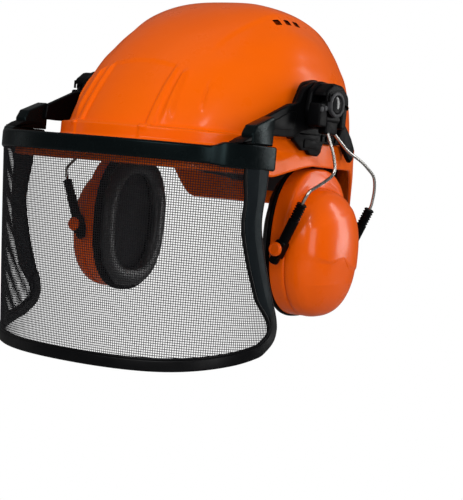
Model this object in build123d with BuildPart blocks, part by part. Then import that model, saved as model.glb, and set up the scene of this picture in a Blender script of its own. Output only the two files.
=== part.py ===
"""Forestry hard hat: helmet shell with harness, tilting mesh visor and two earmuffs.

Millimetres. +Z is up, the wearer faces -Y and the wearer's left side is +X.
The origin is in the middle of the head opening, level with the foot of the forehead band.
Left-hand pieces are modelled and the right-hand ones are their mirror images.
"""
from build123d import *
import os
from math import atan2, copysign, cos, degrees, pi, radians, sin

os.makedirs("parts", exist_ok=True)

# ---------------------------------------------------------------- driving dimensions
# Helmet shell
WALL = 2.5
CENTRE_Y = 4.6                 # fore-and-aft station where the shell is widest
DOME_TOP = 115.0
DOME_FOOT = 8.0                # height of the rain ledge round the dome
OUTLINE_POINTS = 36
PLAN_POWER = 2.15              # superellipse power of the dome in plan
SIDE_SWELL = (101.2, -10.0, 2.58, 3.04)      # reach, foot height and two powers
FRONT_SWELL = (141.1, -37.1, 1.57, 1.60)
REAR_SWELL = (114.0, -12.0, 2.71, 3.11)
LEDGE = (5.0, 7.0, 4.0)        # width of the ledge at the side, front and rear
PEAK_WIDTH = 107.0
PEAK_FRONT = 151.6             # reach of the peak ahead of the widest station
PEAK_POWER = 4.5
PEAK_ROOT = -1.0               # height where the peak leaves the forehead band
PEAK_EDGE = -16.0              # height of the peak's upper edge
FRONT_HEM = -20.0              # lower edge of the shell at the front and sides
EAR_HEM = -9.0                 # lower edge over the ears
NAPE_HEM = -42.0               # lower edge at the nape

VENT_X = 64.0
VENT_Y = (-10.0, 1.5, 13.0)
VENT_Z = 100.0

# Hub that carries the visor and an earmuff on each side
HUB_Y = -15.0
HUB_Z = 36.0
HUB_RADIUS = 18.0
PIN_RADIUS = 4.0
FIT = 0.05                     # radial running clearance
ADAPTER_IN = 101.7
BLADE_IN = 99.7                # inner face of the blade that drops into the shell's slot
BLADE_WIDTH = 22.0
ADAPTER_OUT = 106.6
ARM_IN = 107.0
ARM_OUT = 112.0
HUB_IN = 112.4
HUB_OUT = 129.0

# Visor
BAR_WIDTH = 120.5              # half width of the brow bar
BAR_FRONT = -160.5
BAR_REAR = -75.0
BAR_POWER = 2.55
BAR_TOP = -3.0
BAR_FOOT = -16.0
BAR_THICKNESS = 6.0
BLOCK_REAR = -71.0
BLOCK_FRONT = -127.0
BLOCK_TOP = 0.5
BLOCK_FOOT = -17.0
HEM_WIDTH = 122.5              # half width of the mesh at its lower edge
HEM_FRONT = -151.0
HEM_REAR = -60.0
HEM_POWER = 2.15
MESH_FOOT = -169.0

# Earmuff
CUP_Y = 10.0
CUP_Z = -68.0
CUP_BASE = 91.0                # plane of the cup's rim
CUP_DEPTH = 39.0
CUP_HALF = (41.0, 57.0)
CUP_POWER = 2.4
PIVOT_X = 104.0
PIVOT_Z = -74.0
SLEEVE_OFFSET = 45.4           # sleeves stand this far before and behind the cup's middle
SLEEVE_RADIUS = 4.0
WIRE_RADIUS = 1.2
SLIDE_X = 0.43                 # direction in which the cup slides on its wires
SLIDE_Z = 0.9028
SWING_X = 123.0                # axis about which the wires swing out
SWING_Z = 26.0

# Harness
BAND_SIDE = 73.0
BAND_REACH = 97.0
BAND_HEIGHT = 24.0
BAND_THICKNESS = 1.5
BAND_TILT = 8.0
STRAP_REACH = 101.5
STRAP_RISE = 78.0
STRAP_WIDTH = 20.0
HOOK_IN = 99.4                 # inner end of the harness hooks, from the centre line
KNOB_Y = 104.4
KNOB_Z = -17.0
PINION_RADIUS = 4.0


# ---------------------------------------------------------------- helpers
def save(builder, name):
    """Label one finished piece and write it."""
    builder.part.label = name
    export_step(builder.part, f"parts/{name}.step")


def save_pair(builder, name):
    """Write a left-hand piece and its mirror image for the right-hand side."""
    save(builder, name + "_left")
    with BuildPart() as other:
        mirror(builder.part, about=Plane.YZ)
    save(other, name + "_right")


def oval_points(side, front, rear, front_power, rear_power):
    """Points round a plan outline made of two superellipse halves."""
    points = []
    for index in range(OUTLINE_POINTS):
        angle = 2 * pi * (index + 0.5) / OUTLINE_POINTS
        reach, power = (rear, rear_power) if sin(angle) > 0 else (front, front_power)
        across = copysign(abs(cos(angle)) ** (2 / power), cos(angle))
        along = copysign(abs(sin(angle)) ** (2 / power), sin(angle))
        points.append((side * across, CENTRE_Y + reach * along))
    return points


def swell(height, shape, top):
    """Reach of the dome from its centre line at a height."""
    reach, foot, p, q = shape
    rise = max(0.0, (height - foot) / (top - foot))
    return reach * (1 - rise ** p) ** (1 / q)


def dome_outline(height, inset=0.0):
    """Plan outline of the dome at a height, set in for the inner surface."""
    top = DOME_TOP - inset
    reaches = [swell(height, shape, top) * (1 - inset / shape[0])
               for shape in (SIDE_SWELL, FRONT_SWELL, REAR_SWELL)]
    return oval_points(*reaches, PLAN_POWER, PLAN_POWER)


def ledge_outline(inset=0.0):
    """Plan outline of the band below the rain ledge."""
    reaches = [swell(DOME_FOOT, shape, DOME_TOP) + width - inset
               for shape, width in zip((SIDE_SWELL, FRONT_SWELL, REAR_SWELL), LEDGE)]
    return oval_points(*reaches, PLAN_POWER, PLAN_POWER)


def peak_outline(inset=0.0):
    """Plan outline of the shell's lower edge, with the boxy peak in front."""
    rear = swell(DOME_FOOT, REAR_SWELL, DOME_TOP) + LEDGE[2] - inset
    return oval_points(PEAK_WIDTH - inset, PEAK_FRONT - inset, rear, PEAK_POWER, PLAN_POWER)


def closed_face(points):
    """Face inside a smooth closed curve."""
    with BuildSketch(Plane.XY, mode=Mode.PRIVATE) as outline:
        with BuildLine():
            Spline(*points, periodic=True)
        make_face()
    return outline.sketch_local


def u_curve(half_width, front, rear, power, offset):
    """Points of a U in plan, from the right-hand end round the front to the left-hand end."""
    points = []
    steps = 24
    for index in range(steps + 1):
        angle = pi - pi * index / steps
        across = copysign(abs(cos(angle)) ** (2 / power), cos(angle))
        along = abs(sin(angle)) ** (2 / power)
        points.append(((half_width + offset) * across, rear - (rear - front + offset) * along))
    return points


def u_band(half_width, front, rear, power, inner, outer, tail):
    """Face of a U-shaped band between two offsets, its ends carried back to y = tail."""
    outside = u_curve(half_width, front, rear, power, outer)
    inside = u_curve(half_width, front, rear, power, inner)
    with BuildSketch(Plane.XY, mode=Mode.PRIVATE) as band:
        with BuildLine():
            Spline(*outside)
            Polyline(outside[-1], (half_width + outer, tail), (half_width + inner, tail), inside[-1])
            Spline(*inside[::-1])
            Polyline(inside[0], (-half_width - inner, tail), (-half_width - outer, tail), outside[0])
        make_face()
    return band.sketch_local


def cup_outline(grow, squeeze=1.0):
    """Points of the cup's oval in its own plane, grown by a distance."""
    points = []
    for index in range(28):
        angle = 2 * pi * (index + 0.5) / 28
        across = copysign(abs(cos(angle)) ** (2 / CUP_POWER), cos(angle))
        up = copysign(abs(sin(angle)) ** (2 / CUP_POWER), sin(angle))
        points.append((CUP_Y + (CUP_HALF[0] * squeeze + grow) * across,
                       CUP_Z + (CUP_HALF[1] * squeeze + grow) * up))
    return points


def sleeve_point(front, travel):
    """Point on a sleeve's centre line, at a distance up from the cup's pivot."""
    y = CUP_Y - SLEEVE_OFFSET if front else CUP_Y + SLEEVE_OFFSET
    return Vector(PIVOT_X + SLIDE_X * travel, y, PIVOT_Z + SLIDE_Z * travel)


# ---------------------------------------------------------------- helmet shell
DOME_LEVELS = (DOME_FOOT, 26, 44, 61, 76, 89, 99, 106, 111, 114)

with BuildPart() as shell:
    for level in DOME_LEVELS:
        with BuildSketch(Plane.XY.offset(level)):
            add(closed_face(dome_outline(level)))
    loft()
    for low, high, lower, upper in (
        (PEAK_ROOT, DOME_FOOT, ledge_outline(), ledge_outline()),
        (PEAK_EDGE, PEAK_ROOT, peak_outline(), ledge_outline()),
        (NAPE_HEM, PEAK_EDGE, peak_outline(), peak_outline()),
    ):
        with BuildSketch(Plane.XY.offset(low)):
            add(closed_face(lower))
        with BuildSketch(Plane.XY.offset(high)):
            add(closed_face(upper))
        loft(ruled=True)
    for level in DOME_LEVELS[:-1]:
        with BuildSketch(Plane.XY.offset(level - WALL)):
            add(closed_face(dome_outline(level - WALL, WALL)))
    with BuildSketch(Plane.XY.offset(DOME_TOP - 2 * WALL + 1.5)):
        add(closed_face(dome_outline(DOME_TOP - 2 * WALL + 1.5, WALL)))
    loft(mode=Mode.SUBTRACT)
    for low, high, lower, upper in (
        (PEAK_ROOT - WALL, DOME_FOOT - WALL, ledge_outline(WALL), ledge_outline(WALL)),
        (PEAK_EDGE - WALL, PEAK_ROOT - WALL, peak_outline(WALL), ledge_outline(WALL)),
        (NAPE_HEM - 1, PEAK_EDGE - WALL, peak_outline(WALL), peak_outline(WALL)),
    ):
        with BuildSketch(Plane.XY.offset(low)):
            add(closed_face(lower))
        with BuildSketch(Plane.XY.offset(high)):
            add(closed_face(upper))
        loft(ruled=True, mode=Mode.SUBTRACT)
    # Lower edge: level round the peak, raised over the ears, deep at the nape
    with BuildSketch(Plane.YZ):
        with BuildLine():
            hem = FilletPolyline((-200, FRONT_HEM), (-52, FRONT_HEM), (-22, EAR_HEM), (62, EAR_HEM),
                                 (79, NAPE_HEM), (160, NAPE_HEM), radius=10)
            Polyline(hem @ 1, (160, -80), (-200, -80), hem @ 0)
        make_face()
    extrude(amount=200, both=True, mode=Mode.SUBTRACT)
    # Three square vents high on each side, and the slots that take the side adapters
    for side in (-1, 1):
        with Locations(*[Location((side * VENT_X, y, VENT_Z), (0, side * 40, 0)) for y in VENT_Y]):
            Box(5, 5.5, 16, mode=Mode.SUBTRACT)
        with Locations((side * (BLADE_IN + 1.1), HUB_Y, 6.2)):
            Box(2 * 1.3, BLADE_WIDTH + 0.4, 16.4, mode=Mode.SUBTRACT)
save(shell, "shell")

# ---------------------------------------------------------------- harness
band_plane = Plane(origin=(0, CENTRE_Y, 0), x_dir=(1, 0, 0),
                   z_dir=(0, sin(radians(BAND_TILT)), cos(radians(BAND_TILT))))


def band_ring(inner, outer):
    """Face of the head ring between two offsets from the headband's inside."""
    with BuildSketch(Plane.XY, mode=Mode.PRIVATE) as ring:
        for grow, mode in ((outer, Mode.ADD), (inner, Mode.SUBTRACT)):
            reach = BAND_REACH + grow
            points = oval_points(BAND_SIDE + grow, reach, reach, 2.2, 2.6)
            add(closed_face([(x, y - CENTRE_Y) for x, y in points]), mode=mode)
    return ring.sketch_local


with BuildPart() as headband:
    with BuildSketch(band_plane.offset(-BAND_HEIGHT / 2)):
        add(band_ring(0, BAND_THICKNESS))
        with Locations((0, BAND_REACH)):
            Rectangle(84, 60, mode=Mode.SUBTRACT)
    extrude(amount=BAND_HEIGHT)
save(headband, "headband")

with BuildPart() as sweatband:
    with BuildSketch(band_plane.offset(-BAND_HEIGHT / 2 - 3)):
        add(band_ring(-5, -0.3))
        with Locations((0, 60)):
            Rectangle(200, 160, mode=Mode.SUBTRACT)
    extrude(amount=BAND_HEIGHT + 6)
save(sweatband, "sweatband")

STRAP_FOOT = 8.0
for number, (turn, lift) in enumerate(((50.0, 0.0), (-50.0, 2.4)), 1):
    across = Vector(cos(radians(turn)), sin(radians(turn)), 0)
    strap_plane = Plane(origin=(0, CENTRE_Y, STRAP_FOOT), x_dir=across,
                        z_dir=(sin(radians(turn)), -cos(radians(turn)), 0))
    with BuildPart() as strap:
        with BuildSketch(strap_plane):
            Ellipse(STRAP_REACH, STRAP_RISE + lift)
            Ellipse(STRAP_REACH - 1.3, STRAP_RISE + lift - 1.3, mode=Mode.SUBTRACT)
            with Locations((0, -100)):
                Rectangle(300, 200, mode=Mode.SUBTRACT)
        extrude(amount=STRAP_WIDTH / 2, both=True)
    save(strap, f"cradle_strap_{number}")

with BuildPart() as hooks:
    for turn in (50, 130, 230, 310):
        reach = 111 if turn > 180 else 105
        hook_plane = Plane(origin=(0, CENTRE_Y, STRAP_FOOT - 12),
                           x_dir=(cos(radians(turn)), sin(radians(turn)), 0), z_dir=(0, 0, 1))
        with BuildSketch(hook_plane):
            with Locations(((HOOK_IN + reach) / 2, 0)):
                RectangleRounded(reach - HOOK_IN, STRAP_WIDTH + 4, 2)
        extrude(amount=11.8)
save(hooks, "harness_hooks")

with BuildPart() as ratchet_housing:
    with BuildSketch(Plane.XZ.offset(-KNOB_Y)):
        with Locations((0, KNOB_Z)):
            RectangleRounded(78, 30, 10)
    extrude(amount=8)
    with Locations((0, KNOB_Y - 3.2, KNOB_Z)):
        Box(90, 3.2, 19, mode=Mode.SUBTRACT)
    with BuildSketch(Plane.XZ.offset(-KNOB_Y)):
        with Locations((0, KNOB_Z)):
            Circle(6.5)
    extrude(amount=5, mode=Mode.SUBTRACT)
save(ratchet_housing, "ratchet_housing")

for number, (side, height) in enumerate(((1, 1), (-1, -1))):
    name = ("left", "right")[number]
    with BuildPart() as rack:
        with BuildSketch(Plane.XZ.offset(-(KNOB_Y - 2.2))):
            with Locations((side * 26, KNOB_Z + height * 6.8)):
                Rectangle(58, 3.4)
            with Locations((side * 46, KNOB_Z)):
                RectangleRounded(18, 16, 2)
            with GridLocations(2 * PINION_RADIUS * pi / 12, 1, 16, 1) as teeth:
                spots = [Location((side * 18 + place.position.X, KNOB_Z + height * 4.7))
                         for place in teeth.locations]
            with Locations(*spots):
                Rectangle(0.9, 1.6)
        extrude(amount=2)
    save(rack, f"rack_strip_{name}")

with BuildPart() as pinion:
    with BuildSketch(Plane.XZ.offset(-(KNOB_Y - 2.2))):
        with Locations((0, KNOB_Z)):
            Circle(2.8)
        with Locations((0, KNOB_Z)):
            with PolarLocations(3.2, 12, start_angle=15):
                Rectangle(1.2, 0.9)
    extrude(amount=2)
    with BuildSketch(Plane.XZ.offset(-(KNOB_Y - 2.2))):
        with Locations((0, KNOB_Z)):
            Circle(2.5)
    extrude(amount=-4)
save(pinion, "ratchet_pinion")

with BuildPart() as knob:
    with BuildSketch(Plane.XZ.offset(-(KNOB_Y + 0.4))):
        with Locations((0, KNOB_Z)):
            Circle(13)
    extrude(amount=-9)
    fillet(knob.edges().sort_by(Axis.Y)[-1], 2)
    with BuildSketch(Plane.XZ.offset(-(KNOB_Y + 0.4))):
        with Locations((0, KNOB_Z)):
            with PolarLocations(13.4, 16):
                Circle(1.1)
    extrude(amount=-9, mode=Mode.SUBTRACT)
    with BuildSketch(Plane.XZ.offset(-KNOB_Y)):
        with Locations((0, KNOB_Z)):
            Circle(2.5 + FIT)
    extrude(amount=-2.4, mode=Mode.SUBTRACT)
save(knob, "ratchet_knob")

# ---------------------------------------------------------------- visor
with BuildPart() as bar:
    with BuildSketch(Plane.XY.offset(BAR_FOOT)):
        add(u_band(BAR_WIDTH, BAR_FRONT, BAR_REAR, BAR_POWER, -BAR_THICKNESS, 0, BAR_REAR + 2))
    extrude(amount=BAR_TOP - BAR_FOOT)
save(bar, "visor_bar")

with BuildPart() as block:
    with BuildSketch(Plane.XY.offset(BLOCK_FOOT)):
        add(u_band(BAR_WIDTH, BAR_FRONT, BAR_REAR, BAR_POWER, -BAR_THICKNESS - 1.3, 1.3, BLOCK_REAR))
    extrude(amount=BLOCK_TOP - BLOCK_FOOT)
    with Locations((0, BLOCK_FRONT - 50, 0)):
        Box(300, 100, 60, mode=Mode.SUBTRACT)
    with Locations((-75, 0, 0)):
        Box(150, 400, 60, mode=Mode.SUBTRACT)
    with BuildSketch(Plane.XY.offset(BAR_FOOT - 0.1)):
        add(u_band(BAR_WIDTH, BAR_FRONT, BAR_REAR, BAR_POWER, -BAR_THICKNESS - 0.1, 0.1, BAR_REAR + 2.1))
    extrude(amount=BAR_TOP - BAR_FOOT + 0.2, mode=Mode.SUBTRACT)
save_pair(block, "visor_end_block")


def visor_profile():
    """Side view of the mesh: bowed rear edges, rounded lower corners, a hem that drops forward."""
    with BuildSketch(Plane.XY, mode=Mode.PRIVATE) as profile:
        with BuildLine():
            rear = Spline((-80, 5), (-81, -25), (-84, -55), (-77, -82), (-67, -106), (-58, -126))
            corner = Spline(rear @ 1, (-59, -139), (-72, -150), tangents=(rear % 1, (-1, -0.3)))
            hem = Spline(corner @ 1, (-98, -157.5), (-135, -165.5), (-175, -168),
                         tangents=((-1, -0.3), (-1, 0)))
            Polyline(hem @ 1, (-175, 5), rear @ 0)
        make_face()
    return profile.sketch_local


def visor_wall(inner, outer):
    """Curved wall of the visor between two offsets from the mesh's middle surface."""
    with BuildPart(mode=Mode.PRIVATE) as wall:
        with BuildSketch(Plane.XY.offset(MESH_FOOT)):
            add(u_band(HEM_WIDTH, HEM_FRONT, HEM_REAR, HEM_POWER, inner, outer, -40))
        with BuildSketch(Plane.XY.offset(BLOCK_FOOT)):
            add(u_band(BAR_WIDTH - 2, BAR_FRONT + 2, BAR_REAR, BAR_POWER, inner, outer, -40))
        loft(ruled=True)
    return wall.part


with BuildPart() as mesh:
    add(visor_wall(-0.4, 0.4))
    with BuildSketch(Plane.YZ):
        add(visor_profile())
    extrude(amount=200, both=True, mode=Mode.INTERSECT)
save(mesh, "visor_mesh")

STRIP_FOOT = -130.0
with BuildPart() as strip:
    add(visor_wall(0.5, 2.7))
    with BuildSketch(Plane.YZ):
        add(visor_profile())
        with Locations((-15, 0)):
            add(visor_profile(), mode=Mode.SUBTRACT)
    extrude(amount=200, mode=Mode.INTERSECT)
    with Locations((0, 0, STRIP_FOOT - 50)):
        Box(400, 400, 100, mode=Mode.SUBTRACT)
save_pair(strip, "visor_side_strip")

with BuildPart() as binding:
    add(visor_wall(0.5, 2.4))
    with BuildSketch(Plane.YZ):
        add(visor_profile())
        with Locations((-5, 8)):
            add(visor_profile(), mode=Mode.SUBTRACT)
    extrude(amount=200, both=True, mode=Mode.INTERSECT)
    with Locations((0, 0, STRIP_FOOT + 100)):
        Box(400, 400, 200, mode=Mode.SUBTRACT)
save(binding, "visor_hem_binding")

with BuildPart() as arm:
    with BuildSketch(Plane.YZ.offset(ARM_IN)):
        with BuildLine():
            Polyline((-102, 3), (-102, 14), (-75, 29), (-52, 34), (-27, 46), (-15, 52), (-15, 20),
                     (-35, 14), (-46, 3), (-79, 4), (-79, 3), (-102, 3))
        make_face()
        with Locations((HUB_Y, HUB_Z)):
            Circle(16)
    extrude(amount=ARM_OUT - ARM_IN)
    with BuildSketch(Plane.XY.offset(BLOCK_TOP)):
        with Locations(((ARM_IN + 121) / 2 + 2.5, -90.5)):
            RectangleRounded(121 - ARM_IN - 5, 23, 2)
    extrude(amount=15)
    with BuildSketch(Plane.YZ.offset(ARM_IN - 1)):
        with Locations((HUB_Y, HUB_Z)):
            Circle(PIN_RADIUS + FIT)
    extrude(amount=10, mode=Mode.SUBTRACT)
save_pair(arm, "visor_arm")

# ---------------------------------------------------------------- side adapters and hubs
with BuildPart() as adapter:
    with BuildSketch(Plane.YZ.offset(ADAPTER_IN)):
        with Locations((HUB_Y, HUB_Z)):
            Circle(19)
        with Locations((HUB_Y, 22)):
            Rectangle(30, 27)
        with BuildLine():
            Polyline((-10, 48), (6, 32), (36, 14), (36, 9), (20, 9), (-10, 20), (-10, 48))
        make_face()
    extrude(amount=ADAPTER_OUT - ADAPTER_IN)
    for low, high, thickness in ((-9.0, 9.0, 1.7), (8.2, 14.0, 2.4)):
        with BuildSketch(Plane.YZ.offset(BLADE_IN)):
            with Locations((HUB_Y, (low + high) / 2)):
                Rectangle(BLADE_WIDTH, high - low)
        extrude(amount=thickness)
    with BuildSketch(Plane.YZ.offset(ADAPTER_OUT - 0.1)):
        with Locations((HUB_Y + 4, 7.5)):
            Rectangle(46, 12)
        with Locations((HUB_Y - 8, 3)):
            RectangleRounded(20, 13, 4)
    extrude(amount=3.5)
    with BuildSketch(Plane.YZ.offset(ADAPTER_OUT - 0.1)):
        with BuildLine():
            Polyline((24, 21), (36, 14), (41, -4), (36, -6), (30, 0), (20, 12), (24, 21))
        make_face()
    extrude(amount=4)
    with BuildSketch(Plane.YZ.offset(ADAPTER_IN - 1)):
        with Locations((HUB_Y, HUB_Z)):
            Circle(PIN_RADIUS)
    extrude(amount=20, mode=Mode.SUBTRACT)
save_pair(adapter, "side_adapter")

with BuildPart() as hub_pin:
    with BuildSketch(Plane.YZ.offset(ADAPTER_IN)):
        with Locations((HUB_Y, HUB_Z)):
            Circle(PIN_RADIUS)
    extrude(amount=HUB_OUT - 2 - ADAPTER_IN)
save_pair(hub_pin, "hub_pin")

POCKET_HALF = 9.0
with BuildPart() as hub:
    with BuildSketch(Plane.YZ.offset(HUB_IN)):
        with Locations((HUB_Y, HUB_Z)):
            Circle(HUB_RADIUS)
        with Locations((HUB_Y, 24)):
            Rectangle(28, 14)
    extrude(amount=HUB_OUT - HUB_IN)
    with Locations((SWING_X + 6, HUB_Y, SWING_Z - 6)):
        Box(24, 2 * POCKET_HALF, 24, mode=Mode.SUBTRACT)
    with BuildSketch(Plane.YZ.offset(HUB_IN - 1)):
        with Locations((HUB_Y, HUB_Z)):
            Circle(PIN_RADIUS + FIT)
    extrude(amount=30, mode=Mode.SUBTRACT)
    with BuildSketch(Plane.XZ.offset(-HUB_Y)):
        with Locations((SWING_X, SWING_Z)):
            Circle(2 + FIT)
    extrude(amount=12.5, both=True, mode=Mode.SUBTRACT)
save_pair(hub, "hub_housing")

with BuildPart() as cap:
    with BuildSketch(Plane.YZ.offset(HUB_OUT)):
        with Locations((HUB_Y, HUB_Z)):
            Circle(15)
            Circle(4.5, mode=Mode.SUBTRACT)
        with Locations((HUB_Y, HUB_Z - 28)):
            Rectangle(40, 40, mode=Mode.SUBTRACT)
    extrude(amount=1.5)
save_pair(cap, "hub_cap")

with BuildPart() as yoke_block:
    with BuildSketch(Plane.XZ.offset(-HUB_Y)):
        with Locations((SWING_X, SWING_Z)):
            Circle(4.5)
    extrude(amount=POCKET_HALF - 0.3, both=True)
    with BuildSketch(Plane.XZ.offset(-HUB_Y)):
        with Locations((SWING_X, SWING_Z)):
            Circle(2)
    extrude(amount=12.2, both=True)
    with Locations((SWING_X, HUB_Y, SWING_Z - 7)):
        Box(8, 2 * POCKET_HALF - 2, 10)
save_pair(yoke_block, "yoke_block")

WIRE_DEPTH = 9.0
ROUTES = {
    "front": [(125, -19, 17), (129, -14, 2), (131, -10, -14), (128, -24, -23), (125, -34, -29)],
    "rear": [(125, -11, 17), (127, 8, 4), (127, 30, -3), (126, 50, -13), (124.5, 54.5, -24)],
}
for place, route in ROUTES.items():
    front = place == "front"
    stations = [Vector(*point) for point in route]
    stations += [sleeve_point(front, 42), sleeve_point(front, WIRE_DEPTH)]
    with BuildPart() as wire:
        with BuildLine():
            path = FilletPolyline(*stations, radius=[5, 7, 7, 6, 6])
        with BuildSketch(Plane(origin=path @ 0, z_dir=path % 0)):
            Circle(WIRE_RADIUS)
        sweep()
    save_pair(wire, f"wire_{place}")

    sleeve_plane = Plane(origin=sleeve_point(front, -12), x_dir=(0, 1, 0), z_dir=(SLIDE_X, 0, SLIDE_Z))
    outward = -1 if front else 1
    with BuildPart() as sleeve:
        with BuildSketch(sleeve_plane):
            Circle(SLEEVE_RADIUS)
        extrude(amount=51)
        with BuildSketch(sleeve_plane.offset(6)):
            RectangleRounded(2 * SLEEVE_RADIUS, 11.5, 2)
        extrude(amount=12)
        with BuildSketch(sleeve_plane.offset(3)):
            Circle(WIRE_RADIUS + FIT)
        extrude(amount=60, mode=Mode.SUBTRACT)
        with BuildSketch(Plane.XZ.offset(-sleeve_point(front, 0).Y)):
            with Locations((PIVOT_X, PIVOT_Z)):
                Circle(2.4)
        extrude(amount=10, both=True, mode=Mode.SUBTRACT)
    save_pair(sleeve, f"sleeve_{place}")

    with BuildPart() as button:
        start = sleeve_point(front, 0).Y + outward * (SLEEVE_RADIUS + 0.1)
        with BuildSketch(Plane.XZ.offset(-start)):
            with Locations((PIVOT_X, PIVOT_Z)):
                Circle(5.2)
        extrude(amount=-outward * 3.5)
        with BuildSketch(Plane.XZ.offset(-start)):
            with Locations((PIVOT_X, PIVOT_Z)):
                Circle(2.4)
        extrude(amount=outward * 13)
    save_pair(button, f"pivot_button_{place}")

# ---------------------------------------------------------------- earmuff cups
CUP_STATIONS = ((0, 1.0), (8, 0.995), (18, 0.945), (27.5, 0.84), (35, 0.65), (CUP_DEPTH, 0.40))
with BuildPart() as cup:
    for depth, squeeze in CUP_STATIONS:
        with BuildSketch(Plane.YZ.offset(CUP_BASE + depth)):
            add(closed_face(cup_outline(0, squeeze)))
    loft()
    for depth, squeeze in CUP_STATIONS:
        with BuildSketch(Plane.YZ.offset(CUP_BASE - 0.1 + depth * 0.93)):
            add(closed_face(cup_outline(-WALL, squeeze)))
    loft(mode=Mode.SUBTRACT)
    with BuildSketch(Plane.XZ.offset(-CUP_Y)):
        with Locations((PIVOT_X, PIVOT_Z)):
            Circle(2.4 + FIT)
    extrude(amount=60, both=True, mode=Mode.SUBTRACT)
save_pair(cup, "cup_shell")

with BuildPart() as backplate:
    with BuildSketch(Plane.YZ.offset(CUP_BASE - 3)):
        add(closed_face(cup_outline(1.5)))
        add(closed_face(cup_outline(-16)), mode=Mode.SUBTRACT)
    extrude(amount=3)
save_pair(backplate, "cup_backplate")

with BuildPart() as cushion:
    with BuildSketch(Plane.YZ.offset(CUP_BASE - 13)):
        add(closed_face(cup_outline(-1)))
        add(closed_face(cup_outline(-19)), mode=Mode.SUBTRACT)
    extrude(amount=10)
save_pair(cushion, "cup_cushion")

with BuildPart() as foam:
    for depth, grow in ((0.2, -5), (16.0, -8)):
        with BuildSketch(Plane.YZ.offset(CUP_BASE + depth)):
            add(closed_face(cup_outline(grow)))
    loft()
save_pair(foam, "cup_foam")
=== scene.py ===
"""Looks of the forestry hard hat: helmet shell, mesh visor, earmuffs and harness.

Blender works in metres; the shapes below are given in millimetres and scaled by MM.
The wearer faces -Y, +X is the wearer's left and +Z is up, as in the CAD model.
"""
import bmesh
import bpy
import math
import numpy as np
from mathutils import Matrix, Vector


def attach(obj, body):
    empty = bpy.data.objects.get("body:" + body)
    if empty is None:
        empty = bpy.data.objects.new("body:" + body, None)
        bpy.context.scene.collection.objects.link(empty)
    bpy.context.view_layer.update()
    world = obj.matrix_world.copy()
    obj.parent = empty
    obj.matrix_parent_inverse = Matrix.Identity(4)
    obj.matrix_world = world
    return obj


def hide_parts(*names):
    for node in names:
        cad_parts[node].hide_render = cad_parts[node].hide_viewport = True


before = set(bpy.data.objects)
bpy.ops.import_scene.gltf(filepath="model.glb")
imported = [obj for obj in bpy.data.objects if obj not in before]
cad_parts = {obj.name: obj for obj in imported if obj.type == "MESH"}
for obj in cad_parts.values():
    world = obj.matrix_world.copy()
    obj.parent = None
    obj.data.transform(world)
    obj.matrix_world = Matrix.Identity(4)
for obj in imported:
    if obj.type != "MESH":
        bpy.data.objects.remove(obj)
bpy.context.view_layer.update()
MM = 0.001
SIDES = (("left", 1), ("right", -1))

# ---------------------------------------------------------------- shared dimensions, as in the CAD
WALL = 2.5
CENTRE_Y = 4.6
DOME_TOP = 115.0
DOME_FOOT = 8.0
SIDE_SWELL = (101.2, -10.0, 2.58, 3.04)
FRONT_SWELL = (141.1, -37.1, 1.57, 1.60)
REAR_SWELL = (114.0, -12.0, 2.71, 3.11)
LEDGE = (5.0, 7.0, 4.0)
PEAK_WIDTH = 107.0
PEAK_FRONT = 151.6
PEAK_ROOT = -1.0
PEAK_EDGE = -16.0
HUB_Y = -15.0
HUB_Z = 36.0
SWING_X = 123.0                # axis on which the wires swing out
SWING_Z = 26.0
CUP_Y = 10.0
CUP_Z = -68.0
CUP_BASE = 91.0
PIVOT_X = 104.0
PIVOT_Z = -74.0
SLEEVE_OFFSET = 45.4
SLIDE = np.array((0.43, 0.0, 0.9028))      # direction in which the sleeves slide on the wires
WIRE_RADIUS = 1.2
WIRE_BEND = 42.0               # travel at which a wire turns into its sleeve
WIRE_TIP = 9.6                 # travel at which it ends, clear of the lug at full rise


# ---------------------------------------------------------------- curve and mesh helpers
def ramp(value, low, high):
    """Smooth step from 0 at low to 1 at high."""
    t = np.clip((np.asarray(value, float) - low) / (high - low), 0, 1)
    return t * t * (3 - 2 * t)


def bump(value, centre, width):
    """Smooth hill of height 1 and half-width `width`."""
    return np.exp(-((np.asarray(value, float) - centre) / width) ** 2)


def signed_power(value, power):
    return np.sign(value) * np.abs(value) ** power


def flow(points, count):
    """Catmull-Rom curve through the points, at `count` evenly spaced stations."""
    points = np.array(points, float)
    padded = np.vstack([2 * points[0] - points[1], points, 2 * points[-1] - points[-2]])
    fine = []
    for i in range(1, len(padded) - 2):
        a, b, c, d = padded[i - 1:i + 3]
        t = np.linspace(0, 1, 24, endpoint=False)[:, None]
        fine.append(0.5 * (2 * b + (c - a) * t + (2 * a - 5 * b + 4 * c - d) * t ** 2
                           + (3 * b - a - 3 * c + d) * t ** 3))
    return even(np.vstack([*fine, points[-1:]]), count)


def run_along(points):
    """Distance travelled along a path, at each of its points."""
    return np.r_[0, np.cumsum(np.linalg.norm(np.diff(points, axis=0), axis=1))]


def tangents(path):
    """Direction of travel at each point of a path."""
    tangent = np.gradient(path, axis=0)
    return tangent / np.linalg.norm(tangent, axis=1)[:, None]


def corner_arc(start, corner, end, stations):
    """Points of a smooth arc that cuts a corner short."""
    return [(1 - t) ** 2 * start + 2 * t * (1 - t) * corner + t * t * end for t in stations]


def even(points, count):
    """The same path, resampled at evenly spaced stations."""
    run = run_along(points)
    stations = np.linspace(0, run[-1], count)
    return np.stack([np.interp(stations, run, points[:, k]) for k in range(points.shape[1])], 1)


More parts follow.
